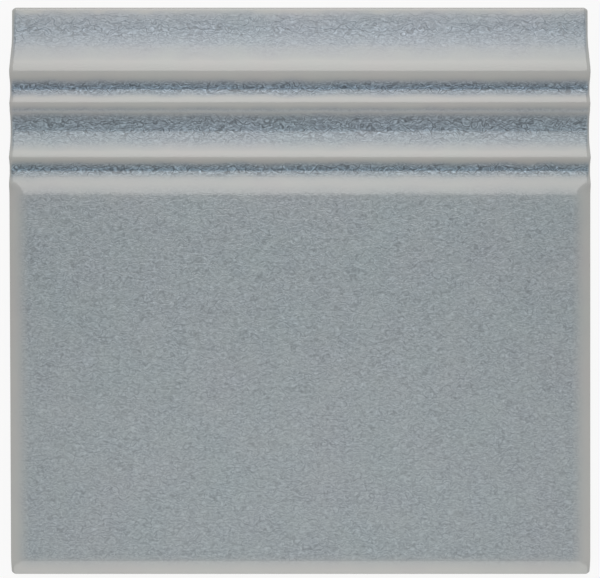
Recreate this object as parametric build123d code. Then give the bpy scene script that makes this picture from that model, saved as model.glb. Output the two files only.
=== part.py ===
from build123d import *

import os
from math import atan2, hypot, tan

# Glazed ceramic skirting tile: a plain raised field below a run of mouldings, pressed and fired as one piece.
# It lies on its back. X runs along the wall, Y points to the tile's top edge and Z out of the glazed face.
# The origin is the centre of the back. All sizes are in millimetres.

# Overall size
TILE_LENGTH = 148.0
TILE_HEIGHT = 145.0
FIELD_THICKNESS = 14.0

# Moulding, read down from the top edge: each corner's run from the one above it, and its depth below the
# field. The corners are where the straight slopes would meet before they are rounded.
RIM_DEPTH = 7.3
COVE_RUN = 7.9
COVE_DEPTH = 7.1
NOSE_RUN = 9.1
NOSE_DEPTH = 0.1
UPPER_GROOVE_RUN = 4.27
UPPER_GROOVE_DEPTH = 3.55
UPPER_BEAD_RUN = 3.37
UPPER_BEAD_DEPTH = 1.3
BEAD_BACK_RUN = 1.13
BEAD_BACK_DEPTH = 1.47
BEAD_FOOT_RUN = 0.9
BEAD_FOOT_DEPTH = 1.95
LEDGE_RUN = 0.73
LEDGE_DEPTH = 2.1
HOLLOW_RUN = 4.35
HOLLOW_DEPTH = 5.45
LOWER_BEAD_RUN = 7.11
LOWER_BEAD_DEPTH = 0.15
LOWER_GROOVE_RUN = 3.19
LOWER_GROOVE_DEPTH = 2.6
SHOULDER_RUN = 4.0

# Roundings of those corners
COVE_RADIUS = 6.9
NOSE_RADIUS = 3.5
GROOVE_RADIUS = 1.7
UPPER_BEAD_RADIUS = 1.0
BEAD_BACK_RADIUS = 2.0
BEAD_FOOT_RADIUS = 0.4
LEDGE_RADIUS = 0.75
HOLLOW_RADIUS = 5.5
LOWER_BEAD_RADIUS = 1.4
SHOULDER_RADIUS = 9.0

# Eased edges: the field is bevelled at its foot and falls away softly to its two ends, and every outer edge
# is softened. The mouldings run out to the ends, where only the small rounding breaks their edges.
FOOT_WIDTH = 3.86
FOOT_DROP = 3.0
FOOT_RADIUS = 1.5
EASE_WIDTH = 2.3
EASE_DROP = 2.0
EASE_RADIUS = 5.2
EDGE_RADIUS = 0.9
END_RADIUS = 0.6

# The eased space stands this far outside the tile's faces, so that its roundings cross them, not graze them.
OVERLAP = 0.02

# Share of a straight side that its two roundings may use up, and of a round edge that one across it may take
FILL_OF_SIDE = 0.99
FILL_OF_EDGE = 0.8

# Keys pressed into the back for the adhesive
KEY_DEPTH = 1.0
KEY_WIDTH = 5.0
KEY_PITCH = 9.5
KEY_MARGIN = 11.0


def limited_radii(points, radii):
    """A closed outline's radii, each cut down where two roundings need more than the side between them."""
    count = len(points)
    reach = []
    for i, radius in enumerate(radii):
        (x0, y0), (x1, y1), (x2, y2) = points[i - 1], points[i], points[(i + 1) % count]
        ax, ay, bx, by = x1 - x0, y1 - y0, x2 - x1, y2 - y1
        turn = abs(atan2(ax * by - ay * bx, ax * bx + ay * by))
        reach.append(radius * tan(turn / 2))
    share = []
    for i in range(count):
        (x0, y0), (x1, y1) = points[i], points[(i + 1) % count]
        needed = reach[i] + reach[(i + 1) % count]
        share.append(min(1.0, FILL_OF_SIDE * hypot(x1 - x0, y1 - y0) / needed) if needed else 1.0)
    return [radius * min(share[i - 1], share[i]) for i, radius in enumerate(radii)]


def outline(corners):
    """A face bounded by straight sides with rounded corners, from (across, up, radius) for each corner."""
    points = [(across, up) for across, up, _ in corners]
    radii = limited_radii(points, [radius for _, _, radius in corners])
    return make_face(FilletPolyline(*points, radius=radii, close=True).edges())


def height_section():
    """The tile's section from foot to top edge, with the mouldings, in (Y, Z)."""
    moulding = [
        (COVE_RUN, COVE_DEPTH, COVE_RADIUS),
        (NOSE_RUN, NOSE_DEPTH, NOSE_RADIUS),
        (UPPER_GROOVE_RUN, UPPER_GROOVE_DEPTH, GROOVE_RADIUS),
        (UPPER_BEAD_RUN, UPPER_BEAD_DEPTH, UPPER_BEAD_RADIUS),
        (BEAD_BACK_RUN, BEAD_BACK_DEPTH, BEAD_BACK_RADIUS),
        (BEAD_FOOT_RUN, BEAD_FOOT_DEPTH, BEAD_FOOT_RADIUS),
        (LEDGE_RUN, LEDGE_DEPTH, LEDGE_RADIUS),
        (HOLLOW_RUN, HOLLOW_DEPTH, HOLLOW_RADIUS),
        (LOWER_BEAD_RUN, LOWER_BEAD_DEPTH, LOWER_BEAD_RADIUS),
        (LOWER_GROOVE_RUN, LOWER_GROOVE_DEPTH, GROOVE_RADIUS),
        (SHOULDER_RUN, 0.0, SHOULDER_RADIUS),
    ]
    top, foot = TILE_HEIGHT / 2, -TILE_HEIGHT / 2
    corners = [(foot, 0.0, 0.0), (top, 0.0, 0.0), (top, FIELD_THICKNESS - RIM_DEPTH, EDGE_RADIUS)]
    station = top
    for run, depth, radius in moulding:
        station -= run
        corners.append((station, FIELD_THICKNESS - depth, radius))
    corners.append((foot + FOOT_WIDTH, FIELD_THICKNESS, FOOT_RADIUS))
    corners.append((foot, FIELD_THICKNESS - FOOT_DROP, EDGE_RADIUS))
    return outline(corners)


def length_section():
    """The eased space's section from end to end of the field, in (X, Z)."""
    end = TILE_LENGTH / 2 + OVERLAP
    top = FIELD_THICKNESS + OVERLAP
    wall_top = top - EASE_DROP
    return outline(
        [
            (-end, -OVERLAP, 0.0),
            (end, -OVERLAP, 0.0),
            (end, wall_top, EDGE_RADIUS),
            (end - EASE_WIDTH, top, EASE_RADIUS),
            (EASE_WIDTH - end, top, EASE_RADIUS),
            (-end, wall_top, EDGE_RADIUS),
        ]
    )


def moulded_bar():
    """The height section run from end to end, its edges round both ends softened, all but the back's."""
    bar = extrude(Plane.YZ * height_section(), amount=TILE_LENGTH / 2, both=True)
    ends = bar.faces().filter_by(Axis.X).edges()
    narrowest = min(EDGE_RADIUS, NOSE_RADIUS, UPPER_BEAD_RADIUS, LEDGE_RADIUS, LOWER_BEAD_RADIUS)
    softened = min(END_RADIUS, FILL_OF_EDGE * narrowest)
    return fillet(ends - bar.faces().sort_by(Axis.Z)[0].edges(), softened)


def field_envelope():
    """The space the tile keeps to: the eased section along the field, a plain block along the mouldings."""
    moulding_height = COVE_RUN + NOSE_RUN + UPPER_GROOVE_RUN + UPPER_BEAD_RUN + BEAD_BACK_RUN + BEAD_FOOT_RUN
    moulding_height += LEDGE_RUN + HOLLOW_RUN + LOWER_BEAD_RUN + LOWER_GROOVE_RUN
    field_height = TILE_HEIGHT - moulding_height
    field = Plane.XZ.offset(TILE_HEIGHT / 2 + OVERLAP) * length_section()
    moulding = Pos(0, TILE_HEIGHT / 2 + OVERLAP, -OVERLAP) * Box(
        TILE_LENGTH + 2 * OVERLAP,
        moulding_height + OVERLAP,
        FIELD_THICKNESS + 2 * OVERLAP,
        align=(Align.CENTER, Align.MAX, Align.MIN),
    )
    return extrude(field, amount=-(field_height + OVERLAP)) + moulding


def back_keys():
    """Shallow round-ended channels across the back, as many as its height takes."""
    channel = SlotOverall(TILE_LENGTH - 2 * KEY_MARGIN, KEY_WIDTH)
    count = int((TILE_HEIGHT - 2 * KEY_MARGIN - KEY_WIDTH) // KEY_PITCH) + 1
    channels = Sketch() + GridLocations(0, KEY_PITCH, 1, count) * channel
    return extrude(channels, amount=KEY_DEPTH)


def skirting_tile():
    """The whole tile: the moulded bar with its field eased at both ends, less the keys in its back."""
    body = moulded_bar() & field_envelope()
    return body - back_keys()


os.makedirs("parts", exist_ok=True)
tile = skirting_tile()
export_step(tile, "parts/skirting_tile.step")
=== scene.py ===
"""Looks of the glazed skirting tile: a skin of pooled crackle glaze over a bare body, lights and camera."""

from math import atan, atan2, cos, pi, radians, sin

import bmesh
import bpy
import numpy as np
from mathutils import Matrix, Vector, noise


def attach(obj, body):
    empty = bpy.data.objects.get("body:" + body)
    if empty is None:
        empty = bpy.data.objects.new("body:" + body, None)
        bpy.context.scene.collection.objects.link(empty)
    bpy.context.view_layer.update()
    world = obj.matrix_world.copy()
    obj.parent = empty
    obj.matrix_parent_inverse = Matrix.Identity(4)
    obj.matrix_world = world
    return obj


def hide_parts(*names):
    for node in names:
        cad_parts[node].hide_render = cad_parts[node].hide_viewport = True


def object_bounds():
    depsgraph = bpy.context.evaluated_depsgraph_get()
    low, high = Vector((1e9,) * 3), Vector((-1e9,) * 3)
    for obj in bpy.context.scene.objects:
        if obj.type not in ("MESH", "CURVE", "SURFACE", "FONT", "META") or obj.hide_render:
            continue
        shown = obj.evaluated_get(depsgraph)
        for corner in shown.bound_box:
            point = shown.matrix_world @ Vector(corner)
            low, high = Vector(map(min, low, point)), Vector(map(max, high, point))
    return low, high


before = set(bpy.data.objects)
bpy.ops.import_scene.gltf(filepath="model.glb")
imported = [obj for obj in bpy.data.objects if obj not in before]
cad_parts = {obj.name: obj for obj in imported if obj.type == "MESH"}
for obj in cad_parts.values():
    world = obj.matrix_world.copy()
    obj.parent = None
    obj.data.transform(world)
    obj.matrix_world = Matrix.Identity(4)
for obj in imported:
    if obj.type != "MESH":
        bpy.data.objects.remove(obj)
cad_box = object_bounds()
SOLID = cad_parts["skirting_tile"]

# Sizes are in millimetres unless they say otherwise. A station is a place along Y, from the foot to the top.
MM = 0.001

# Reading the solid's mesh: points this near count as one. A face whose corners' normals stray from its own
# by no more than FLAT is flat, and its normal then outweighs those of the facets beside it.
SAME_POINT = 0.01
FLAT = 0.001
FLAT_WEIGHT = 1000.0
# The front is what lies above this height, and at this station the section runs through the plain field
FRONT_HEIGHT = 2.0
FIELD_STATION = -20.0
# The back and the floors of its keys have normals below this, and the keys stand further apart than the gap
BACK_NORMAL = -0.99
KEY_GAP = 1.0

# The skin: the largest turn and the longest step along a section, the points round a key's end, and the
# angle from which an edge shows as sharp
LARGEST_TURN = radians(4.0)
LONGEST_STEP = 1.25
KEY_END_POINTS = 13
SHARP_EDGE = radians(40.0)
# Rounding of the edges round both ends, on the face and on the upright walls
END_ROUNDING = 0.6
WALL_ROUNDING = 1.1
# How sharply the field's eased ends meet its foot and shoulder, and the shoulder's fall that ends them
CORNER_SHARPNESS = 3.0
EASE_FADE = 0.9
# The left end leans in this much towards the foot and the right end stands in this much all along
LEFT_LEAN = 0.43
RIGHT_SETBACK = 0.1
# Unevenness of the fired surface: its mean depth and the length of its waves
WAVE_DEPTH = 0.05
WAVE_LENGTH = 11.0

# Molten glaze runs off what stands proud and pools in what lies low. Its thickness is told in coats, and on
# level ground it goes from the first level value to the second between two stations; that rise towards the
# top is painted shade, which darkens the field there. To each pool belong a reach and a depth, and the glaze
# gains one coat where it lies that deep below its surroundings within that reach. On a slope it loses
# RUN_OFFS, the first where that faces the foot and the second where it faces the top, in full once the
# normal leans over by STEEP. Past the tile's top the surroundings drop by RIM_FALL.
COATS_WITH_PAINTED_SHADE = (0.88, 0.97)
COAT_STATIONS = (-30.0, 20.0)
POOLS = ((1.3, 0.43), (8.0, 7.2))
RUN_OFFS = (0.12, 0.5)
STEEP = 0.35
RIM_FALL = 0.75
# Rows whose normals point up by less than this, such as those of the walls, take the glaze beside them
FRONT_NORMAL = 0.7
# All of it lies a little further up or down, by as much as WAVER, which changes over WAVER_LENGTH
WAVER = 0.35
WAVER_LENGTH = 6.0
# Round the field and at the ends of the mouldings it thins out between two distances from the edge
FIELD_BORDER = (0.4, 5.4)
MOULDING_BORDER = (0.0, 1.0)
# Blotches change the thickness by as much as half of BLOTCH, over BLOTCH_LENGTH
BLOTCH = 0.35
BLOTCH_LENGTH = 7.0

# Linear colours of glaze over body for no coat, one, two and three, and of the body alone
GLAZE_SHADES = ((0.438, 0.437, 0.420), (0.278, 0.318, 0.339), (0.168, 0.223, 0.265), (0.100, 0.145, 0.172))
BISCUIT = (0.66, 0.58, 0.48)

# Two runs of cracks cross each other. In a run they follow the tile's length a pitch apart, and drift across
# it by as many pitches as CRACK_DRIFT, which changes over DRIFT_LENGTH and more slowly along the tile. A
# crack is dark in its middle, pale CRACK_WIDTH pitches from there and gone at twice that.
CRACK_PITCH = 2.0
CRACK_DRIFT = 3.2
DRIFT_LENGTH = 2.8
DRIFT_STRETCH = (0.8, 1.0, 1.0)
CRACK_WIDTH = 0.16
CRACK_CONTRAST = 0.9
# Between them lie wisps, drawn out along the tile, and a mottle. Both are bent by a sway.
SWAY = 2.0
SWAY_LENGTH = 2.4
WISP_LENGTH = 0.5
WISP_STRETCH = (0.4, 1.15, 1.15)
MOTTLE_LENGTH = 0.48
# How much the wisps and the mottle lighten the tone, and where it starts so that they nearly cancel out
WISP_TONE = 0.52
MOTTLE_TONE = 0.58
GROUND_TONE = -0.555

# Each of these goes from the third value to the fourth while the glaze's thickness goes from the first to
# the second: the cracks' tone, the strength of all the crackle, and what counts as pooled
CRACK_TONES = (0.8, 1.3, 0.15, 0.23)
CRACKLE_STRENGTHS = (0.1, 1.9, 0.0, 2.05)
POOLED = (0.1, 0.8, 0.0, 1.0)
# The same by place: painted shade by station, the tone by distance from the middle, and a painted cool
# cast of the top light by station
PAINTED_SHADE_UP = (-50.0, 18.0, 1.015, 0.955)
TONES_OUT = (25.0, 74.0, 1.0, 0.955)
PAINTED_COOL_UP = (16.0, 66.0, 0.0, 1.0)
PAINTED_COOL_CAST = (0.0, 0.0, 0.045)
# Red and green patches: what they add at most, to which tint and over which length
PATCH_TINT = (0.08, -0.03, 0.0)
PLAIN_TINT = (0.96, 1.015, 1.0)
PATCH_LENGTH = 14.0

# The glaze ends in a line round the edges, no lower than LINE_LOW and no more than LINE_RISE above that,
# which wanders over LINE_LENGTH and is blurred by LINE_BLUR to both sides
LINE_LOW = 1.6
LINE_RISE = 3.0
LINE_LENGTH = 7.0
LINE_BLUR = 0.12
# The body's grain: its length, the darkest tone and what the grain adds to it
GRAIN_LENGTH = 0.35
GRAIN_DARKEST = 0.82
GRAIN_TONE = 0.35

# Gloss and relief: glaze ripples where it pooled and its cracks stand out, and the bare body is grainy
GLAZE_ROUGHNESS = 0.12
BISCUIT_ROUGHNESS = 0.8
GLAZE_IOR = 1.5
RELIEF_HEIGHT = 0.025
RIPPLE_LENGTH = 1.4
CRACK_RELIEF = 0.25
GRAIN_RELIEF = 3.0

# The floor's half width in metres, how much light it throws back and gives off, and how bright it is around
FLOOR_REACH = 3.0
FLOOR_SHADE = 0.08
FLOOR_GLOW = 0.88
SURROUNDINGS = 0.635

# What the photograph shows: its width in pixels, a pixel's size on the field, and the camera over the field
PHOTO_WIDTH = 600
PIXEL_ON_FIELD = 0.25364
CAMERA_X = -0.01
CAMERA_Y = 0.17
CAMERA_HEIGHT = 600.0


def section(solid, axis, at):
    """Where the solid's edges along an axis cross the plane square to it: points in order, and normals.

    A flat face gives its edges their exact normal. Between the facets of a round face it is their mean.
    """
    mesh = solid.data
    others = [k for k in range(3) if k != axis]
    found = []
    for face in mesh.polygons:
        normal = np.array(face.normal)
        strays = max((mesh.corner_normals[k].vector - face.normal).length for k in face.loop_indices)
        weight = 1.0 if strays > FLAT else FLAT_WEIGHT
        corners = np.array([mesh.vertices[k].co for k in face.vertices]) / MM
        for a, b in zip(corners, np.roll(corners, -1, axis=0)):
            is_along = np.abs((b - a)[others]).max() < SAME_POINT
            if is_along and (a[axis] - at) * (b[axis] - at) < 0:
                found.append([*a[others], *(weight * normal[others])])
    found = np.array(found)
    cells, owner = np.unique(np.round(found[:, :2] / SAME_POINT), axis=0, return_inverse=True)
    normals = np.zeros_like(cells)
    np.add.at(normals, owner.ravel(), found[:, 2:])
    return cells * SAME_POINT, normals / np.linalg.norm(normals, axis=1, keepdims=True)


def smooth_run(points, normals):
    """A finer run of points and normals, on the smooth curve through these and square to the normals."""
    tangents = np.column_stack([normals[:, 1], -normals[:, 0]])
    run_points, run_normals = [points[:1]], [normals[:1]]
    for k in range(len(points) - 1):
        length = np.hypot(*(points[k + 1] - points[k]))
        turn = np.arccos(np.clip(normals[k] @ normals[k + 1], -1.0, 1.0))
        steps = int(max(1, np.ceil(turn / LARGEST_TURN), np.ceil(length / LONGEST_STEP)))
        t = np.arange(1, steps + 1)[:, None] / steps
        start, end = tangents[k] * length, tangents[k + 1] * length
        place = (2 * t**3 - 3 * t**2 + 1) * points[k] + (t**3 - 2 * t**2 + t) * start
        place = place + (3 * t**2 - 2 * t**3) * points[k + 1] + (t**3 - t**2) * end
        slope = (6 * t**2 - 6 * t) * (points[k] - points[k + 1])
        slope = slope + (3 * t**2 - 4 * t + 1) * start + (3 * t**2 - 2 * t) * end
        slope = slope / np.linalg.norm(slope, axis=1, keepdims=True)
        run_points.append(place)
        run_normals.append(np.column_stack([-slope[:, 1], slope[:, 0]]))
    return np.vstack(run_points), np.vstack(run_normals)


def height_run():
    """The tile's front from the bottom of the foot's wall, over field and mouldings, to that of the top."""
    points, normals = section(SOLID, axis=0, at=0.0)
    low, high = points[:, 0].min(), points[:, 0].max()
    front = points[:, 1] > FRONT_HEIGHT
    points = np.vstack([[[low, 0.0]], points[front], [[high, 0.0]]])
    normals = np.vstack([[[-1.0, 0.0]], normals[front], [[1.0, 0.0]]])
    return smooth_run(points, normals)


def length_run():
    """The field's section from the middle of the tile to the top of its right end wall."""
    points, normals = section(SOLID, axis=1, at=FIELD_STATION)
    front = (points[:, 0] > 0) & (points[:, 1] > FRONT_HEIGHT)
    points = np.vstack([[[0.0, points[:, 1].max()]], points[front]])
    normals = np.vstack([[[0.0, 1.0]], normals[front]])
    run = smooth_run(points, normals)[0]
    further_out = np.diff(np.maximum.accumulate(run[:, 0])) > SAME_POINT / 2
    return run[np.append(further_out, True)]


def pooled(stations, heights):
    """How much thicker than on level ground the glaze lies at each place of a section that starts level."""
    step = 0.1
    reaches_counted = 4
    even = np.arange(stations[0], stations[-1] + step / 2, step)
    level = np.interp(even, stations, heights)
    gain = np.zeros_like(level)
    for reach, depth in POOLS:
        margin = int(reaches_counted * reach / step)
        before, after = np.full(margin, level[0]), np.full(margin, level[-1] - RIM_FALL)
        offsets = np.arange(-margin, margin + 1) * step
        weights = np.exp(-((offsets / reach) ** 2) / 2)
        around = np.convolve(np.concatenate([before, level, after]), weights / weights.sum(), mode="same")
        gain += (around[margin:-margin] - level) / depth
    return np.interp(stations, even, gain)


def kept(distance, border):
    """The share of the glaze that is kept at this distance from the tile's edge."""
    share = np.clip((distance - border[0]) / (border[1] - border[0]), 0.0, 1.0)
    return share**2 * (3 - 2 * share)


def uneven(grid, length):
    """Smooth chance values from minus one to one at each place of the grid, that change over this length."""
    falling_off, finer_by, octaves = 1.0, 2.0, 2
    places = grid.reshape(-1, 3) / length
    values = [noise.fractal(Vector(place), falling_off, finer_by, octaves) for place in places]
    return np.clip(values, -1.0, 1.0).reshape(grid.shape[:2])


def skin_grid():
    """Places on the front and edges, in rows up the tile and columns from left to right, and their glaze."""
    run, normals = height_run()
    half = length_run()
    columns = np.concatenate([-half[:0:-1, 0], half[:, 0]])
    end_drop = half[0, 1] - np.concatenate([half[:0:-1, 1], half[:, 1]])
    end, level = half[-1, 0], half[0, 1]

    rounding = END_ROUNDING + (WALL_ROUNDING - END_ROUNDING) * abs(normals[:, :1])
    past = np.maximum(abs(columns) - (end - rounding), 0.0)
    inset = rounding - np.sqrt(np.maximum(rounding**2 - past**2, 0.0))
    grid = np.empty((len(run), len(columns), 3))
    grid[:, :, 0] = columns
    grid[:, :, 1:] = run[:, None, :] - normals[:, None, :] * inset[:, :, None]

    # The field's ends are eased from the foot up, and run out on the shoulder that falls to the lower groove
    groove = np.argmin(abs(run[:, 0]))
    while run[groove + 1, 1] <= run[groove, 1]:
        groove += 1
    share = np.clip(1.0 - (level - run[:, 1:]) / EASE_FADE, 0.0, 1.0)
    share[run[:, 0] < 0] = 1.0
    share[groove:] = 0.0
    drops = abs(level - grid[:, :, 2]), abs(share * end_drop)
    eased = level - (drops[0] ** CORNER_SHARPNESS + drops[1] ** CORNER_SHARPNESS) ** (1 / CORNER_SHARPNESS)
    grid[1:-1, :, 2] = eased[1:-1]
    grid[[0, -1], :, 2] = 0.0

    # The ends are not quite square
    down = np.clip((run[groove, 0] - run[:, :1]) / (run[groove, 0] - run[:, 0].min()), 0.0, 1.0)
    grid[:, :, 0] += LEFT_LEAN * down * np.maximum(-columns / end, 0.0)
    grid[:, :, 0] -= RIGHT_SETBACK * np.maximum(columns / end, 0.0)

    # The foot's bevel counts as level, since the border thins its glaze out
    front = normals[:, 1] > FRONT_NORMAL
    heights = np.where(run[:, 0] < 0, level, run[:, 1])
    # The level coats rise towards the top as painted shade, darkening the field there
    glaze = np.interp(run[front, 0], COAT_STATIONS, COATS_WITH_PAINTED_SHADE) + pooled(run[front, 0], heights[front])
    glaze -= np.interp(normals[front, 0], (-STEEP, 0.0, STEEP), (RUN_OFFS[0], 0.0, RUN_OFFS[1]))
    stations = run[:, :1] - WAVER * uneven(grid, WAVER_LENGTH)
    glaze = np.interp(stations, run[front, 0], glaze) * kept(run[:, :1] - run[0, 0], FIELD_BORDER)
    from_end = end - abs(columns)
    along = share * kept(from_end, FIELD_BORDER) + (1 - share) * kept(from_end, MOULDING_BORDER)
    return grid, glaze * along


def key_outlines():
    """The round-ended outline of each key, as places on the level of the back, and the keys' depth."""
    mesh = SOLID.data
    faces = [face.vertices for face in mesh.polygons if face.normal.z < BACK_NORMAL]
    places = np.array([mesh.vertices[k].co for face in faces for k in face]) / MM
    floors = places[places[:, 2] > SAME_POINT]
    levels = np.unique(np.round(floors[:, 1], 2))
    angles = np.radians(np.linspace(-90, 90, KEY_END_POINTS))
    outlines = []
    for key in np.split(levels, np.flatnonzero(np.diff(levels) > KEY_GAP) + 1):
        middle, radius = (key[0] + key[-1]) / 2, (key[-1] - key[0]) / 2
        reach = floors[:, 0].max() - radius
        right = np.column_stack([reach + radius * np.cos(angles), middle + radius * np.sin(angles)])
        outlines.append(np.vstack([right, [0.0, 2 * middle] - right]))
    return outlines, floors[:, 2].max()


def tile_mesh():
    """The tile's closed mesh: the front and edges, the two ends, and the back with its keys."""
    grid, glaze = skin_grid()
    sunk = WAVE_DEPTH * (1.0 + uneven(grid, WAVE_LENGTH))
    sunk[[0, -1]] = 0.0
    grid[:, :, 2] -= sunk
    rows, columns = grid.shape[:2]
    mesh = bmesh.new()
    thickness = mesh.verts.layers.float.new("glaze")
    at = []
    for place, amount in zip(grid.reshape(-1, 3) * MM, glaze.ravel()):
        vertex = mesh.verts.new(place)
        vertex[thickness] = amount
        at.append(vertex)
    for r in range(rows - 1):
        for c in range(columns - 1):
            k = r * columns + c
            mesh.faces.new([at[k], at[k + 1], at[k + 1 + columns], at[k + columns]])
    mesh.faces.new([at[r * columns] for r in range(rows)])
    mesh.faces.new([at[r * columns + columns - 1] for r in reversed(range(rows))])

    outlines, depth = key_outlines()
    for outline in outlines:
        mouth = [mesh.verts.new((x * MM, y * MM, 0.0)) for x, y in outline]
        bottom = [mesh.verts.new((x * MM, y * MM, depth * MM)) for x, y in outline]
        for k in range(len(mouth)):
            mesh.faces.new([mouth[k - 1], mouth[k], bottom[k], bottom[k - 1]])
        mesh.faces.new(bottom)
    rim = [e for e in mesh.edges if e.is_boundary]
    bmesh.ops.triangle_fill(mesh, use_beauty=True, use_dissolve=False, edges=rim, normal=(0, 0, -1))
    bmesh.ops.recalc_face_normals(mesh, faces=mesh.faces)
    made = bpy.data.meshes.new("crackle_tile")
    mesh.to_mesh(made)
    mesh.free()
    made.shade_smooth()
    made.set_sharp_from_angle(angle=SHARP_EDGE)
    return made


class Tree:
    """A material's nodes, made by short calls that return an output socket."""

    def __init__(self, name):
        self.material = bpy.data.materials.new(name)
        self.material.use_nodes = True
        self.nodes = self.material.node_tree.nodes
        self.links = self.material.node_tree.links
        self.shader = self.nodes["Principled BSDF"]

    def add(self, kind, inputs, **settings):
        """A new node of this kind, with values or other nodes' outputs for its inputs."""
        made = self.nodes.new(kind)
        for name, value in settings.items():
            setattr(made, name, value)
        for name, value in inputs.items():
            self.put(made.inputs[name], value)
        return made

    def put(self, socket, value):
        """Links an output to the socket, or sets a plain value there."""
        if isinstance(value, bpy.types.NodeSocket):
            self.links.new(value, socket)
        else:
            socket.default_value = value

    def math(self, operation, a, b=0.0, c=0.0):
        return self.add("ShaderNodeMath", {0: a, 1: b, 2: c}, operation=operation).outputs[0]

    def vector(self, operation, a, b):
        """Vector arithmetic, where the second operand is a factor for SCALE and a vector otherwise."""
        second = "Scale" if operation == "SCALE" else 1
        return self.add("ShaderNodeVectorMath", {0: a, second: b}, operation=operation).outputs[0]

    def split(self, vector):
        """The vector's parts, by the names of the axes."""
        return self.add("ShaderNodeSeparateXYZ", {"Vector": vector}).outputs

    def ramp(self, value, low, high, to_low=0.0, to_high=1.0):
        """A smooth change between two levels while the value goes from low to high."""
        inputs = {"Value": value, "From Min": low, "From Max": high, "To Min": to_low, "To Max": to_high}
        return self.add("ShaderNodeMapRange", inputs, interpolation_type="SMOOTHSTEP").outputs["Result"]

    def noise(self, place, length, detail=2.0):
        """The outputs of a noise of about this length, with finer noise added by the detail."""
        inputs = {"Vector": place, "Scale": 1.0 / length, "Detail": detail}
        return self.add("ShaderNodeTexNoise", inputs).outputs

    def mix(self, kind, factor, a, b):
        """From a to b by the factor, for colours or for single values."""
        made = self.nodes.new("ShaderNodeMix")
        made.data_type = kind
        for name, value in (("Factor", factor), ("A", a), ("B", b)):
            self.put(next(socket for socket in made.inputs if socket.name == name and socket.enabled), value)
        return next(socket for socket in made.outputs if socket.enabled)

    def blend(self, value, *shades):
        """The colour that runs through these shades, evenly spaced, as the value goes from none to one."""
        made = self.add("ShaderNodeValToRGB", {"Fac": value})
        stops = made.color_ramp.elements
        while len(stops) < len(shades):
            stops.new(1.0)
        for k, shade in enumerate(shades):
            stops[k].position = k / (len(shades) - 1)
            stops[k].color = (*shade, 1.0)
        return made.outputs["Color"]


def cracks(tree, place):
    """The tone of the cracks: dark in their middle, pale beside it and none between them."""
    drawn_out = tree.vector("MULTIPLY", place, DRIFT_STRETCH)
    drift = tree.split(tree.noise(drawn_out, DRIFT_LENGTH, detail=1.0)["Color"])
    across = tree.math("DIVIDE", tree.split(place)["Y"], CRACK_PITCH)
    runs = [tree.math("MULTIPLY_ADD", drift[axis], CRACK_DRIFT, across) for axis in ("X", "Y")]
    distance = tree.math("MINIMUM", *[tree.math("PINGPONG", run, 0.5) for run in runs])
    inner = tree.ramp(distance, 0.0, CRACK_WIDTH, -CRACK_CONTRAST, CRACK_CONTRAST)
    outer = tree.ramp(distance, CRACK_WIDTH, 2 * CRACK_WIDTH, CRACK_CONTRAST, 0.0)
    return tree.math("MINIMUM", inner, outer)


def swayed(tree, place):
    """The place, bent to and fro."""
    sway = tree.noise(place, SWAY_LENGTH, detail=1.0)["Color"]
    sway = tree.vector("SUBTRACT", sway, (0.5, 0.5, 0.5))
    return tree.vector("ADD", place, tree.vector("SCALE", sway, SWAY))


def coats(tree, place):
    """The glaze's thickness, with painted shade towards the top, uneven from place to place."""
    even = tree.add("ShaderNodeAttribute", {}, attribute_name="glaze").outputs["Fac"]
    blotches = tree.math("MULTIPLY_ADD", tree.noise(place, BLOTCH_LENGTH)["Fac"], BLOTCH, -BLOTCH / 2)
    return tree.math("MAXIMUM", tree.math("ADD", even, blotches), 0.0)


def glaze_colour(tree, place, bent, net, amount, is_pooled):
    """Colour of glaze over body by its thickness, with crackle that is the stronger the thicker it lies."""
    wisps = tree.noise(tree.vector("MULTIPLY", bent, WISP_STRETCH), WISP_LENGTH, detail=0.0)["Fac"]
    mottle = tree.noise(bent, MOTTLE_LENGTH, detail=0.5)["Fac"]
    crackle = tree.math("MULTIPLY_ADD", mottle, MOTTLE_TONE, GROUND_TONE)
    crackle = tree.math("MULTIPLY_ADD", wisps, WISP_TONE, crackle)
    crackle = tree.math("MULTIPLY_ADD", net, tree.ramp(amount, *CRACK_TONES), crackle)
    tone = tree.math("EXPONENT", tree.math("MULTIPLY", crackle, tree.ramp(amount, *CRACKLE_STRENGTHS)))

    # Painted shade darkens it towards the top, and it is darker towards the ends. It fired in faint red
    # and green patches, and a painted cool cast of the top light makes it bluer on the mouldings
    axes = tree.split(place)
    # Painted shade: darker towards the top
    tone = tree.math("MULTIPLY", tone, tree.ramp(axes["Y"], *PAINTED_SHADE_UP))
    tone = tree.math("MULTIPLY", tone, tree.ramp(tree.math("ABSOLUTE", axes["X"]), *TONES_OUT))
    tint = tree.vector("SCALE", PATCH_TINT, tree.noise(place, PATCH_LENGTH)["Fac"])
    tint = tree.vector("ADD", tint, PLAIN_TINT)
    # Painted cool cast of the top light, on the pooled mouldings
    painted_cool = tree.math("MULTIPLY", tree.ramp(axes["Y"], *PAINTED_COOL_UP), is_pooled)
    tint = tree.vector("ADD", tint, tree.vector("SCALE", PAINTED_COOL_CAST, painted_cool))

    colour = tree.blend(tree.math("DIVIDE", amount, len(GLAZE_SHADES) - 1.0), *GLAZE_SHADES)
    return tree.vector("MULTIPLY", tree.vector("SCALE", colour, tone), tint)


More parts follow.
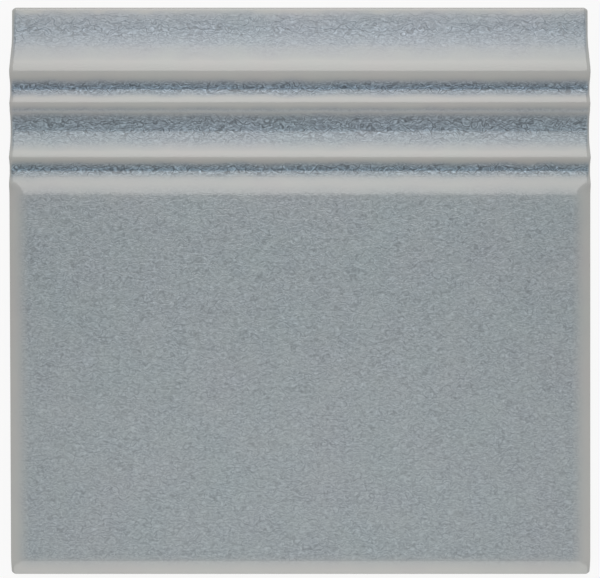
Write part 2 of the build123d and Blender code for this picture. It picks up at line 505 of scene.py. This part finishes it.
def glaze_material():
    """Crackle glaze, blue where it pooled and worn to grey on edges, over a bare back and lower walls."""
    tree = Tree("crackle_glaze")
    place = tree.vector("SCALE", tree.add("ShaderNodeTexCoord", {}).outputs["Object"], 1.0 / MM)
    bent = swayed(tree, place)
    net = cracks(tree, place)
    amount = coats(tree, place)
    is_pooled = tree.ramp(amount, *POOLED)
    colour = glaze_colour(tree, place, bent, net, amount, is_pooled)

    # Bare body below an uneven line round the edges
    line = tree.math("MULTIPLY_ADD", tree.noise(place, LINE_LENGTH)["Fac"], LINE_RISE, LINE_LOW)
    above_line = tree.math("SUBTRACT", tree.split(place)["Z"], line)
    is_glazed = tree.ramp(above_line, -LINE_BLUR, LINE_BLUR)
    grain = tree.noise(place, GRAIN_LENGTH, detail=4.0)["Fac"]
    body = tree.vector("SCALE", BISCUIT, tree.math("MULTIPLY_ADD", grain, GRAIN_TONE, GRAIN_DARKEST))
    tree.put(tree.shader.inputs["Base Color"], tree.mix("RGBA", is_glazed, body, colour))

    # Gloss, and the fine unevenness that breaks it up
    smoother = GLAZE_ROUGHNESS - BISCUIT_ROUGHNESS
    roughness = tree.math("MULTIPLY_ADD", is_glazed, smoother, BISCUIT_ROUGHNESS)
    tree.put(tree.shader.inputs["Roughness"], roughness)
    tree.put(tree.shader.inputs["IOR"], GLAZE_IOR)
    ripple = tree.noise(bent, RIPPLE_LENGTH, detail=1.0)["Fac"]
    ripple = tree.math("MULTIPLY", tree.math("MULTIPLY_ADD", net, CRACK_RELIEF, ripple), is_pooled)
    relief = tree.mix("FLOAT", is_glazed, tree.math("MULTIPLY", grain, GRAIN_RELIEF), ripple)
    bump = tree.add("ShaderNodeBump", {"Height": relief, "Distance": RELIEF_HEIGHT * MM, "Strength": 1.0})
    tree.put(tree.shader.inputs["Normal"], bump.outputs[0])
    return tree.material


def floor():
    """A white floor far past the tile on all sides, lit from beneath so that shadows hardly show."""
    mesh = bpy.data.meshes.new("floor")
    corners = [(x * FLOOR_REACH, y * FLOOR_REACH, 0.0) for x, y in ((-1, -1), (1, -1), (1, 1), (-1, 1))]
    mesh.from_pydata(corners, [], [(0, 1, 2, 3)])
    tree = Tree("floor")
    tree.put(tree.shader.inputs["Base Color"], (FLOOR_SHADE, FLOOR_SHADE, FLOOR_SHADE, 1.0))
    tree.put(tree.shader.inputs["Roughness"], 1.0)
    tree.put(tree.shader.inputs["Specular IOR Level"], 0.0)
    tree.put(tree.shader.inputs["Emission Color"], (1.0, 1.0, 1.0, 1.0))
    tree.put(tree.shader.inputs["Emission Strength"], FLOOR_GLOW)
    mesh.materials.append(tree.material)
    made = bpy.data.objects.new("floor", mesh)
    made.visible_diffuse = False
    made.visible_glossy = False
    bpy.context.scene.collection.objects.link(made)


def panel(name, low, high, width, radiance):
    """A flat light between a low and a high edge, given in (Y, Z) metres, that faces the tile."""
    low, high = Vector(low), Vector(high)
    middle = (low + high) / 2
    turn = atan2(high.y - low.y, high.x - low.x)
    if sin(turn) * middle.x - cos(turn) * middle.y > 0:
        turn += pi
    data = bpy.data.lights.new(name, "AREA")
    data.shape = "RECTANGLE"
    data.size, data.size_y = width, (high - low).length
    data.energy = radiance * pi * data.size * data.size_y
    light = bpy.data.objects.new(name, data)
    light.location = (0.0, *middle)
    light.rotation_euler = (turn, 0.0, 0.0)
    light.visible_camera = False
    bpy.context.scene.collection.objects.link(light)


def studio():
    """A tall light beyond the moulded edge that leans over the tile, a low one at its foot, a pale world."""
    panel("top_light", low=(10.3, 0.9), high=(1.36, 10.3), width=3.2, radiance=2.6)
    panel("foot_light", low=(-0.25, 0.005), high=(-0.25, 0.08), width=0.5, radiance=1.35)
    world = bpy.data.worlds.new("surroundings")
    world.use_nodes = True
    background = world.node_tree.nodes["Background"]
    background.inputs["Color"].default_value = (SURROUNDINGS, SURROUNDINGS, SURROUNDINGS, 1.0)
    bpy.context.scene.world = world
    bpy.context.scene.view_settings.view_transform = "Standard"


def camera():
    """Straight down on the tile, its moulded edge at the top of the picture."""
    data = bpy.data.cameras.new("camera")
    data.sensor_fit = "HORIZONTAL"
    data.angle = 2 * atan(PHOTO_WIDTH * PIXEL_ON_FIELD / 2 / CAMERA_HEIGHT)
    made = bpy.data.objects.new("camera", data)
    field = cad_box[1].z
    made.location = (CAMERA_X * MM, CAMERA_Y * MM, field + CAMERA_HEIGHT * MM)
    bpy.context.scene.collection.objects.link(made)
    bpy.context.scene.camera = made


tile = bpy.data.objects.new("crackle_tile", tile_mesh())
bpy.context.scene.collection.objects.link(tile)
tile.data.materials.append(glaze_material())
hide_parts("skirting_tile")
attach(tile, "root")
floor()
studio()
camera()
